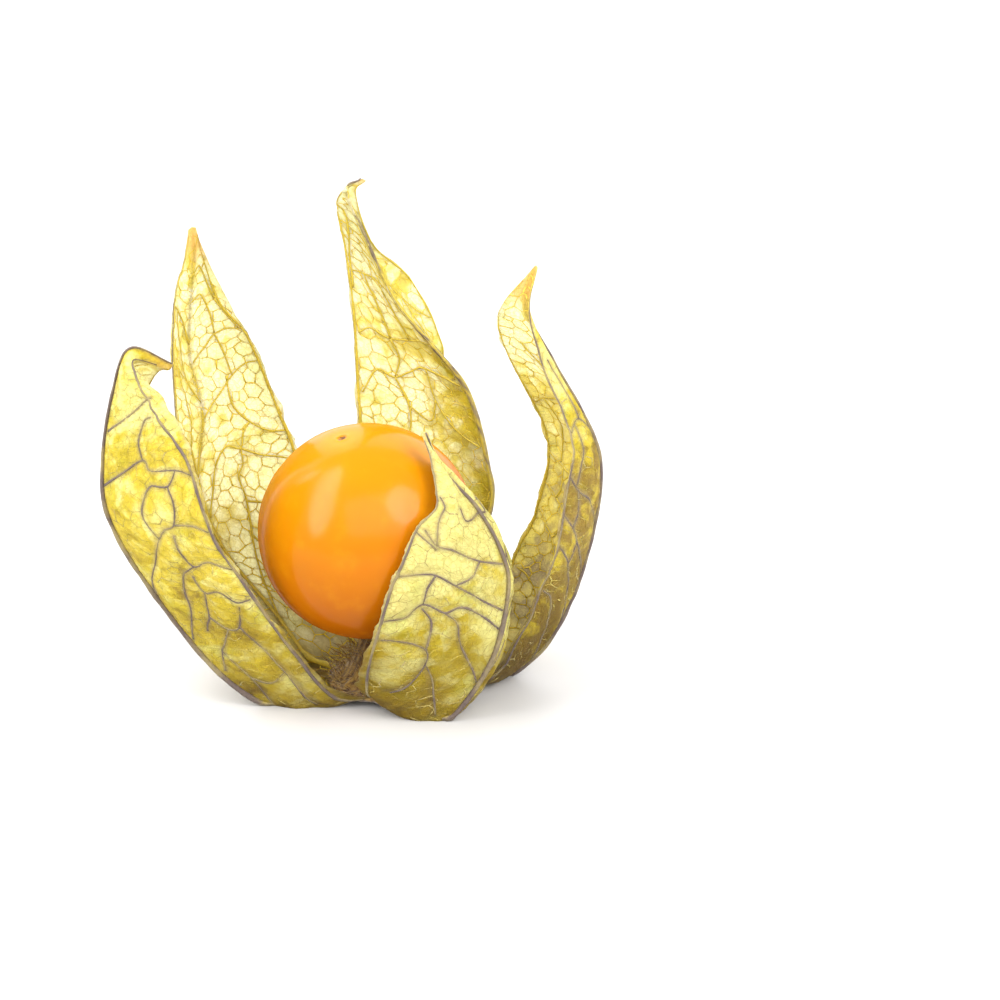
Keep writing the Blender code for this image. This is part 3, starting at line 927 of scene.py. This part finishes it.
# The inside faces start from ivory, paler than the outside, partly as painted light for the glow through the
# lobes.
husk_inside_with_painted_glow = make_husk_paper("husk_paper_inside_painted_glow", IVORY, 0.45, 0.2, 0.6)
# How deep the straw yellow is at shares across each lobe: 0 is pale, 1 deep, 2 bronze. On the right
# lobe and the back lobe's first half the values are partly painted shade, for panels that lie in shade.
DEPTH_AND_SHADE = {
    "left": ((0.0, 0.6), (0.5, 0.85), (1.0, 0.6)),
    "front": ((0.0, 0.0), (0.5, 0.15), (1.0, 0.25)),
    "right": ((0.0, 1.3), (0.45, 1.5), (0.55, 1.4), (0.8, 1.0), (1.0, 1.15)),
    "back": ((0.0, 0.6), (0.5, 0.5), (0.66, 0.45), (0.76, 0.05), (1.0, 0.0)),
    "back_left": ((0.0, 0.0), (0.42, 0.05), (0.55, 0.45), (1.0, 0.6)),
}
# What is added to that at shares along each lobe: the roots are deeper, which is painted shade on the
# low husk, and most points are paler.
ROOT_SHADE_AND_PALE_POINTS = {
    "left": ((0.3, 0.3), (0.55, 0.15), (0.72, -0.45), (1.0, 0.2)),
    "front": ((0.12, 0.8), (0.28, 0.5), (0.42, 0.0), (0.6, -0.5), (1.0, -0.5)),
    "right": ((0.3, 0.5), (0.6, 0.1), (0.78, -1.2), (1.0, -0.8)),
    "back": ((0.3, 0.5), (0.7, 0.0), (1.0, 0.2)),
    "back_left": ((0.2, 0.4), (0.4, 0.0), (0.85, 0.0), (1.0, 0.5)),
}
# How scorched each point is, and at what share along each lobe the scorching starts.
SCORCH_START = 0.8
SCORCH = {"left": 0.45, "front": 0.3, "right": 1.1, "back": 0.8, "back_left": 1.0}
for name, sheet in sheets.items():
    across, along = (read_attribute(sheet.data, share) for share in ("across", "along"))
    # Depth across and along each lobe; on the right and back lobes and at the roots it is partly painted
    # shade.
    deep_and_shade = np.interp(across, *zip(*DEPTH_AND_SHADE[name])) + np.interp(along, *zip(*ROOT_SHADE_AND_PALE_POINTS[name]))
    add_attribute(sheet.data, "deep_and_shade", deep_and_shade)
    tip = np.clip((along - SCORCH_START) / (1.0 - SCORCH_START), 0.0, 1.0)
    add_attribute(sheet.data, "tip", SCORCH[name] * tip)
    sheet.data.materials.append(husk_outside)
    sheet.data.materials.append(husk_inside_with_painted_glow)
print("husk paper has", len(husk_outside.node_tree.nodes), "nodes")

# %% [markdown]
# ## The veins' colour
#
# Outside, the keel, the ribs and the side veins are the dull purple-grey of old ink, worn pale in places.
# Inside they stay straw brown. The attribute `outer` tells the two apart. The fine net has the same graph
# with paler colours.

# %% Vein finish
INK, INK_WORN, STRAW_BROWN = rgb(112, 96, 88), rgb(158, 142, 98), rgb(214, 192, 66)
GOLD, GOLD_WORN, ASH = rgb(236, 212, 78), rgb(208, 192, 104), rgb(176, 160, 104)
LIGHT_THROUGH_VEINS = 0.3
WORN_PER_METRE, FIBRES_PER_METRE = 380, 4200


def make_vein_finish(name, outside_colours, inside_colour):
    paint, tree = new_paint(name)
    place = put(tree, "TexCoord").outputs["Object"]
    worn = steer(tree, cloud(tree, place, WORN_PER_METRE), 0.4, 0.66)
    fibre = cloud(tree, place, FIBRES_PER_METRE, 5.0)
    outside = mix(tree, worn, *outside_colours)
    colour = mix(tree, attribute(tree, "outer"), inside_colour, outside)
    colour = mix(tree, steer(tree, fibre, 0.4, 0.8, 0.0, 0.3), colour, INK, "MULTIPLY")
    bump = bumps(tree, fibre, 0.5, 0.05)
    surface = {"Base Color": colour, "Roughness": 0.62, "Normal": bump, "Sheen Weight": 0.1}
    close_thin(tree, surface, {"Color": colour}, LIGHT_THROUGH_VEINS)
    return paint


vein_finish = make_vein_finish("husk_veins", (INK, INK_WORN), STRAW_BROWN)
net_finish = make_vein_finish("husk_fine_veins", (ASH, GOLD_WORN), GOLD)
for name, lobe in LOBES.items():
    main_veins[name].data.materials.append(vein_finish)
    nets[name].data.materials.append(net_finish)
    for piece in (sheets[name], main_veins[name], nets[name]):
        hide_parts(lobe["node"])
        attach(piece, "root")
print("husk pieces:", 3 * len(LOBES))

# %% [markdown]
# ## The berry
#
# The berry is nearly a ball, but a plain ball looks like plastic. The real one is a little flat at the
# ends, swells in two soft halves, and carries the scar of the flower's style at its top: a dark dot in a
# shallow dimple. The berry starts as a fine UV sphere along its own axis, and each point is pushed in or
# out by a few smooth rules before the whole is laid over to its lean.

# %% Model the berry
BERRY_CENTRE = Vector((1.1, -3.7, 15.1)) * MM
BERRY_AXIS = Vector((-0.22, -0.13, 0.97)).normalized()
BERRY_RADIUS = 9.45 * MM
BERRY_HEIGHT_SHARE = 0.985
BERRY_SIDES, BERRY_RINGS = 128, 160
SCAR_RADIUS = 0.34 * MM
# How much closer together the sphere's rings are drawn at the top, where the small scar needs them.
TOP_RING_SHARE = 0.35
# The dimple, the rim and the pit of the scar: height, distance from the top and width, in millimetres.
TOP_SHAPES = ((-0.16, 0.0, 1.5), (0.05, 0.55, 0.16), (-0.07, 0.0, 0.3))
# The two seams between the berry's halves, and its swellings: height in millimetres, width or count.
SEAM_DEPTH, SEAM_WIDTH = 0.05, 0.22
SWELLINGS = ((0.09, 1.7), (0.02, 5.0))


def berry_push(direction):
    """How far a place on the berry lies from a true ball, in millimetres."""
    top = math.acos(max(-1.0, min(1.0, direction.z))) * BERRY_RADIUS / MM
    scar = sum(height * hump(top - place, width) for height, place, width in TOP_SHAPES)
    seam = -SEAM_DEPTH * hump(direction.y, SEAM_WIDTH) * (1.0 - direction.z**2)
    swell = sum(height * noise.noise(direction * count) for height, count in SWELLINGS)
    return scar + seam + swell


def build_berry():
    bm = bmesh.new()
    bmesh.ops.create_uvsphere(bm, u_segments=BERRY_SIDES, v_segments=BERRY_RINGS, radius=1.0)
    lean = Vector((0, 0, 1)).rotation_difference(BERRY_AXIS)
    for vert in bm.verts:
        direction = vert.co.normalized()
        angle = math.acos(max(-1.0, min(1.0, direction.z)))
        tighter = angle * (TOP_RING_SHARE + (1.0 - TOP_RING_SHARE) * angle / math.pi)
        turned = math.atan2(direction.y, direction.x)
        flat = math.sin(tighter)
        direction = Vector((flat * math.cos(turned), flat * math.sin(turned), math.cos(tighter)))
        place = direction * (BERRY_RADIUS + berry_push(direction) * MM)
        place.z *= BERRY_HEIGHT_SHARE
        vert.co = lean @ place + BERRY_CENTRE
    return new_object("berry_skin", bm)


berry = build_berry()
print("berry faces:", len(berry.data.polygons))

# %% [markdown]
# ## The berry's skin
#
# The skin is thin, waxy and tight, over wet orange flesh, so light goes in and comes out again: that is
# subsurface scattering. It is yellower towards the top and redder below. Faint clouds of pale flesh show
# through, and a pale patch round the scar is a painted highlight. The wax is a clear coat, not quite even.

# %% Berry skin
AMBER, ORANGE, RUSSET = rgb(178, 115, 1), rgb(176, 97, 3), rgb(164, 84, 4)
# The pale flesh colour also paints the highlight round the scar.
PALE_FLESH_AND_HIGHLIGHT, SCAR = rgb(206, 134, 16), rgb(90, 54, 20)
# Features of each noise in a metre, and how far the first two shift heights and edges, in metres.
SKIN_BLOTCHES, SCAR_FRAYS, SKIN_MOTTLES, SKIN_PORES = 130, 2600, 520, 1900
BLOTCH_SHIFT, FRAY_SHIFT = 1.6 * MM, 0.12 * MM


def make_berry_skin():
    paint, tree = new_paint("berry_skin")
    place = put(tree, "TexCoord").outputs["Object"]
    centre = put(tree, "VectorMath", {0: place, 1: BERRY_CENTRE}, operation="SUBTRACT").outputs[0]
    rise = put(tree, "VectorMath", {0: centre, 1: BERRY_AXIS}, operation="DOT_PRODUCT").outputs["Value"]
    height = swayed(tree, rise, cloud(tree, place, SKIN_BLOTCHES), BLOTCH_SHIFT)
    colour = mix(tree, steer(tree, height, -8.0 * MM, 1.0 * MM), RUSSET, ORANGE)
    colour = mix(tree, steer(tree, height, -2.0 * MM, 9.0 * MM), colour, AMBER)
    mottle = cloud(tree, place, SKIN_MOTTLES, 6.0)
    colour = mix(tree, steer(tree, mottle, 0.5, 0.8, 0.0, 0.25), colour, PALE_FLESH_AND_HIGHLIGHT)
    scar_spot = BERRY_CENTRE + BERRY_AXIS * BERRY_RADIUS * BERRY_HEIGHT_SHARE
    reach = put(tree, "VectorMath", {0: place, 1: scar_spot}, operation="DISTANCE").outputs["Value"]
    ragged = swayed(tree, reach, cloud(tree, place, SCAR_FRAYS), FRAY_SHIFT)
    # A painted highlight: a soft pale patch round the scar.
    colour = mix(tree, steer(tree, reach, 0.5 * MM, 2.8 * MM, 0.5, 0.0), colour, PALE_FLESH_AND_HIGHLIGHT)
    colour = mix(tree, steer(tree, ragged, 0.6 * SCAR_RADIUS, 1.5 * SCAR_RADIUS, 1.0, 0.0), colour, SCAR)
    bump = bumps(tree, cloud(tree, place, SKIN_PORES, 2.0), 0.06, 0.05)
    skin = {
        "Base Color": colour,
        "Normal": bump,
        "Roughness": 0.4,
        "Specular IOR Level": 0.0,
        "Subsurface Weight": 0.16,
        "Subsurface Radius": (1.0, 0.42, 0.06),
        "Subsurface Scale": 2.2 * MM,
        "Coat Weight": 0.34,
        "Coat Roughness": 0.19,
        "Coat Normal": bump,
    }
    close_solid(tree, skin)
    return paint


berry.data.materials.append(make_berry_skin())
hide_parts("berry")
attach(berry, "root")
print("berry skin has", len(berry.data.materials[0].node_tree.nodes), "nodes")

# %% [markdown]
# ## The base of the husk
#
# Where the lobes meet, the calyx is a small thick saucer with a dome in its middle, on which the berry
# sits. It is one turned shape, so its profile is spun round the stalk's axis. Ten ribs run out from the
# dome, two to each lobe, and they are a wave in the height rule. The tissue is thick and dark there, and
# felted with short hairs.

# %% Model the base
BASE_PROFILE = (
    (0.0, 5.35), (0.9, 5.35), (1.8, 5.2), (2.5, 4.75), (3.2, 3.4), (3.9, 1.95), (4.7, 1.25), (5.6, 1.0),
)
BASE_STEPS, BASE_TURN_STEPS, BASE_RIBS, BASE_RIB_HEIGHT = 60, 200, 10, 0.16
BASE_THICKNESS, BASE_FELT, FELT_TUFTS_PER_MM = 0.45, 0.12, 2.2
BASE_RIB_START, BASE_MERGE_GAP = 2.5, 0.0005


def build_base():
    share = np.linspace(0.0, 1.0, BASE_STEPS)
    profile = through_points(np.array(BASE_PROFILE), share)
    bm = bmesh.new()
    row = [bm.verts.new(Vector((r, 0.0, z)) * MM) for r, z in profile]
    strip = [bm.edges.new(pair) for pair in zip(row, row[1:])]
    full = {"axis": (0, 0, 1), "cent": (0, 0, 0), "dvec": (0, 0, 0), "angle": 2 * math.pi}
    bmesh.ops.spin(bm, geom=row + strip, steps=BASE_TURN_STEPS, use_merge=True, **full)
    bmesh.ops.remove_doubles(bm, verts=bm.verts, dist=BASE_MERGE_GAP * MM)
    for vert in bm.verts:
        x, y, z = vert.co / MM
        out = math.hypot(x, y)
        ribs = max(0.0, math.cos(BASE_RIBS * math.atan2(y, x))) ** 2 * min(1.0, out / BASE_RIB_START)
        felt = BASE_FELT * noise.noise(vert.co / MM * FELT_TUFTS_PER_MM) * min(1.0, out)
        vert.co = Vector((x, y, z + BASE_RIB_HEIGHT * ribs + felt)) * MM + STALK * MM
    bmesh.ops.recalc_face_normals(bm, faces=bm.faces)
    top = max(bm.faces, key=lambda face: face.calc_center_median().z)
    if top.normal.z < 0:
        bmesh.ops.reverse_faces(bm, faces=bm.faces)
    base = new_object("husk_base_felt", bm)
    wall = base.modifiers.new("wall thickness", "SOLIDIFY")
    wall.thickness = BASE_THICKNESS * MM
    wall.offset = -1.0
    return base


husk_base = build_base()
print("base faces:", len(husk_base.data.polygons))

# %% [markdown]
# ## The matted hairs round the base
#
# Short brown hairs fill the hollow between the dome and the lobes. A particle system could grow them, but
# the export drops hair, so they are strands of a curve, as the veins are: each starts on the dome, leans
# outward and curls a little. Random numbers from a fixed seed place them, so they grow the same each time.

# %% Build the hairs
HAIR_COUNT, HAIR_RADIUS, HAIR_STEPS = 460, 0.03, 6
HAIR_LENGTHS, HAIR_STARTS = (0.9, 3.0), (1.6, 5.4)
HAIR_LEANS, HAIR_CURLS, HAIR_TWISTS = (0.15, 1.3), (-0.5, 0.9), (-0.6, 0.6)
HAIR_GAP, HAIR_FLOOR, HAIR_END, HAIR_SEED = 0.2, 0.3, 0.3, 7


def build_hairs():
    dice = random.Random(HAIR_SEED)
    radii, heights = zip(*BASE_PROFILE)
    nearest = BERRY_RADIUS / MM + HAIR_GAP
    curve = bpy.data.curves.new("hairs", "CURVE")
    for _ in range(HAIR_COUNT):
        angle, out = dice.uniform(0, 2 * math.pi), dice.uniform(*HAIR_STARTS)
        length, steep = dice.uniform(*HAIR_LENGTHS), dice.uniform(*HAIR_LEANS)
        curl, twist = dice.uniform(*HAIR_CURLS), dice.uniform(*HAIR_TWISTS)
        place = Vector((out * math.cos(angle), out * math.sin(angle), np.interp(out, radii, heights)))
        place = place + STALK
        points = []
        for step in range(HAIR_STEPS):
            points.append(place.copy())
            lean = steep - curl * step / HAIR_STEPS
            turn = angle + twist * step / HAIR_STEPS
            ahead = Vector((math.cos(turn) * math.cos(lean), math.sin(turn) * math.cos(lean), math.sin(lean)))
            place += ahead * length / HAIR_STEPS
            from_berry = place - BERRY_CENTRE / MM
            if from_berry.length < nearest:
                place = BERRY_CENTRE / MM + from_berry.normalized() * nearest
        hair = curve.splines.new("POLY")
        hair.points.add(len(points) - 1)
        for knot, point in zip(hair.points, points):
            knot.co = (*(Vector((point.x, point.y, max(point.z, HAIR_FLOOR))) * MM), 1.0)
            knot.radius = HAIR_RADIUS
        hair.points[-1].radius = HAIR_END * HAIR_RADIUS
    return curve_to_mesh("husk_base_hairs", curve, FINE_ROUNDNESS)


hairs = build_hairs()
print("hair faces:", len(hairs.data.polygons))

# %% [markdown]
# ## The stub of the stalk
#
# Under the dome the fruit's stalk was broken off short. It is a round strand with a few ridges and a
# ragged end, and it only shows from below. A disc is extruded upwards ring by ring, and the hole that it
# leaves at the bottom is filled after the rings are shaped.

# %% Model the stalk stub
STUB_RADIUS, STUB_BOTTOM, STUB_TOP = 0.7, 0.95, 4.45
STUB_SIDES, STUB_RINGS, STUB_RIDGES = 30, 24, 5
STUB_RIDGE, STUB_TWIST, STUB_ROUGHNESS, STUB_SPLINTERS = 0.07, 2.0, 0.06, 0.25
STUB_GIRTH, STUB_WAIST = 0.92, 0.1


def build_stub():
    bm = bmesh.new()
    bmesh.ops.create_circle(bm, cap_ends=True, segments=STUB_SIDES, radius=STUB_RADIUS * MM)
    bmesh.ops.recalc_face_normals(bm, faces=bm.faces)
    for _ in range(STUB_RINGS):
        tops = [face for face in bm.faces if len(face.verts) > 4]
        top = max(tops, key=lambda face: face.calc_center_median().z)
        grown = bmesh.ops.extrude_discrete_faces(bm, faces=[top])["faces"]
        rise = Vector((0, 0, (STUB_TOP - STUB_BOTTOM) / STUB_RINGS * MM))
        bmesh.ops.translate(bm, verts=grown[0].verts, vec=rise)
    return bm


def shape_stub(bm):
    for vert in bm.verts:
        turned = math.atan2(vert.co.y, vert.co.x)
        share = vert.co.z / ((STUB_TOP - STUB_BOTTOM) * MM)
        round_place = Vector((math.cos(turned), math.sin(turned), 0.0))
        ridge = 1.0 + STUB_RIDGE * math.cos(STUB_RIDGES * turned + STUB_TWIST * share)
        rough = 1.0 + STUB_ROUGHNESS * noise.noise(2.0 * round_place + Vector((0, 0, 5.0 * share)))
        girth = ridge * rough * (STUB_GIRTH - STUB_WAIST * math.sin(share * math.pi))
        vert.co.x *= girth
        vert.co.y *= girth
        lowest_ring = share < 0.5 / STUB_RINGS
        if lowest_ring:
            splinter = 0.5 + noise.noise(3.0 * round_place + Vector((0, 0, 2.0)))
            vert.co.z += STUB_SPLINTERS * MM * splinter
        vert.co += (STALK + Vector((0, 0, STUB_BOTTOM))) * MM
    bmesh.ops.holes_fill(bm, edges=[edge for edge in bm.edges if edge.is_boundary], sides=0)
    bmesh.ops.recalc_face_normals(bm, faces=bm.faces)
    return new_object("stalk_stub_bark", bm)


stalk_stub = shape_stub(build_stub())
print("stub faces:", len(stalk_stub.data.polygons))

# %% [markdown]
# ## Felt and bark
#
# The base, the hairs and the stalk share one graph with different colours: fibres from a stretched noise,
# dark in their gaps, with a bump that follows them.

# %% Base and stalk finishes
FELT_FIBRES_PER_METRE, FELT_PATCHES_PER_METRE = 2400, 300


def make_felt(name, light, dark, stretch):
    paint, tree = new_paint(name)
    place = put(tree, "TexCoord").outputs["Object"]
    long = put(tree, "Mapping", {"Vector": place, "Scale": stretch}).outputs[0]
    fibre = cloud(tree, long, FELT_FIBRES_PER_METRE, 6.0)
    patch = cloud(tree, place, FELT_PATCHES_PER_METRE)
    colour = mix(tree, steer(tree, fibre, 0.36, 0.66), dark, light)
    colour = mix(tree, steer(tree, patch, 0.35, 0.7, 0.0, 0.6), colour, dark)
    bump = bumps(tree, fibre, 0.8, 0.12)
    close_solid(tree, {"Base Color": colour, "Roughness": 0.85, "Normal": bump, "Sheen Weight": 0.3})
    return paint


base_pieces = (
    (husk_base, "husk_base", "husk_base_tissue"),
    (hairs, "husk_base", "husk_base_tissue"),
    (stalk_stub, "stalk_stub", "stalk"),
)
felts = (
    make_felt("base_felt", rgb(176, 142, 70), rgb(84, 56, 24), (1, 1, 0.35)),
    make_felt("hair_brown", rgb(196, 164, 92), rgb(112, 78, 34), (1, 1, 0.35)),
    make_felt("stalk_bark", rgb(132, 122, 66), rgb(70, 56, 26), (1, 1, 0.15)),
)
for (piece, node, finish), felt in zip(base_pieces, felts):
    piece.data.materials.append(felt)
    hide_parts(node)
    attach(piece, "root")
print("felts:", [felt.name for felt in felts])

# %% [markdown]
# ## Floor and light
#
# The fruit stands on a white table in a white room. A tall soft lamp at the left front gives the long
# highlight on the berry, with a short arm bent away from its top, and a small round one at the right gives
# the second. A wide one in front lights the outer faces, one behind shines through the paper, and the
# white surroundings fill the shadows.

# %% Floor, lights and surroundings
FLOOR_SIZE = 3.0
ROOM_BRIGHTNESS = 0.95
SUBJECT = Vector((0.0, -2.0, 16.0)) * MM


def add_floor():
    bm = bmesh.new()
    bmesh.ops.create_grid(bm, x_segments=2, y_segments=2, size=FLOOR_SIZE / 2)
    floor = new_object("floor", bm)
    paint, tree = new_paint("white_table")
    place = put(tree, "TexCoord").outputs["Object"]
    colour = mix(tree, cloud(tree, place, 3.0), rgb(186, 184, 182), rgb(190, 189, 188))
    close_solid(tree, {"Base Color": colour, "Roughness": 0.6, "Specular IOR Level": 0.3})
    floor.data.materials.append(paint)


def add_soft_box(name, direction, tall, distance, width, height, brightness, shape):
    """A flat lamp that faces the fruit from a direction; `tall` is the way its height points."""
    data = bpy.data.lights.new(name, "AREA")
    data.shape = shape
    data.size = width
    data.size_y = height
    data.energy = brightness * math.pi * width * height
    lamp = bpy.data.objects.new(name, data)
    away = Vector(direction).normalized()
    lamp.location = SUBJECT + away * distance
    side = Vector(tall).cross(away).normalized()
    turned = Matrix((side, away.cross(side), away)).transposed()
    lamp.rotation_euler = turned.to_euler()
    bpy.context.scene.collection.objects.link(lamp)


def light_the_room(strength):
    world = bpy.data.worlds.new("white room")
    world.use_nodes = True
    world.node_tree.nodes["Background"].inputs["Color"].default_value = (1.0, 1.0, 1.0, 1.0)
    world.node_tree.nodes["Background"].inputs["Strength"].default_value = strength
    bpy.context.scene.world = world
    bpy.context.scene.view_settings.view_transform = "Standard"


# Name, direction, way the height points, distance, width, height, brightness and shape.
SOFT_BOXES = (
    ("window", (-0.66, -0.32, 0.66), (0.3, 0.65, 0.7), 0.30, 0.14, 0.40, 6.4, "ELLIPSE"),
    ("window_arm", (-0.80, 0.26, 0.54), (-0.3, 0.14, -0.53), 0.30, 0.05, 0.20, 5.0, "ELLIPSE"),
    ("fill", (0.64, -0.47, 0.61), (0.4, 0.1, 1.0), 0.30, 0.20, 0.20, 6.0, "ELLIPSE"),
    ("front", (0.25, -1.0, 0.75), (0.0, 0.0, 1.0), 0.50, 0.60, 0.40, 2.4, "RECTANGLE"),
    ("behind", (-0.1, 1.0, 0.45), (0.0, 0.0, 1.0), 0.60, 1.2, 0.8, 2.2, "RECTANGLE"),
)
add_floor()
light_the_room(ROOM_BRIGHTNESS)
for soft_box in SOFT_BOXES:
    add_soft_box(*soft_box)

# %% [markdown]
# ## The end

# %% Finish
bpy.context.view_layer.update()
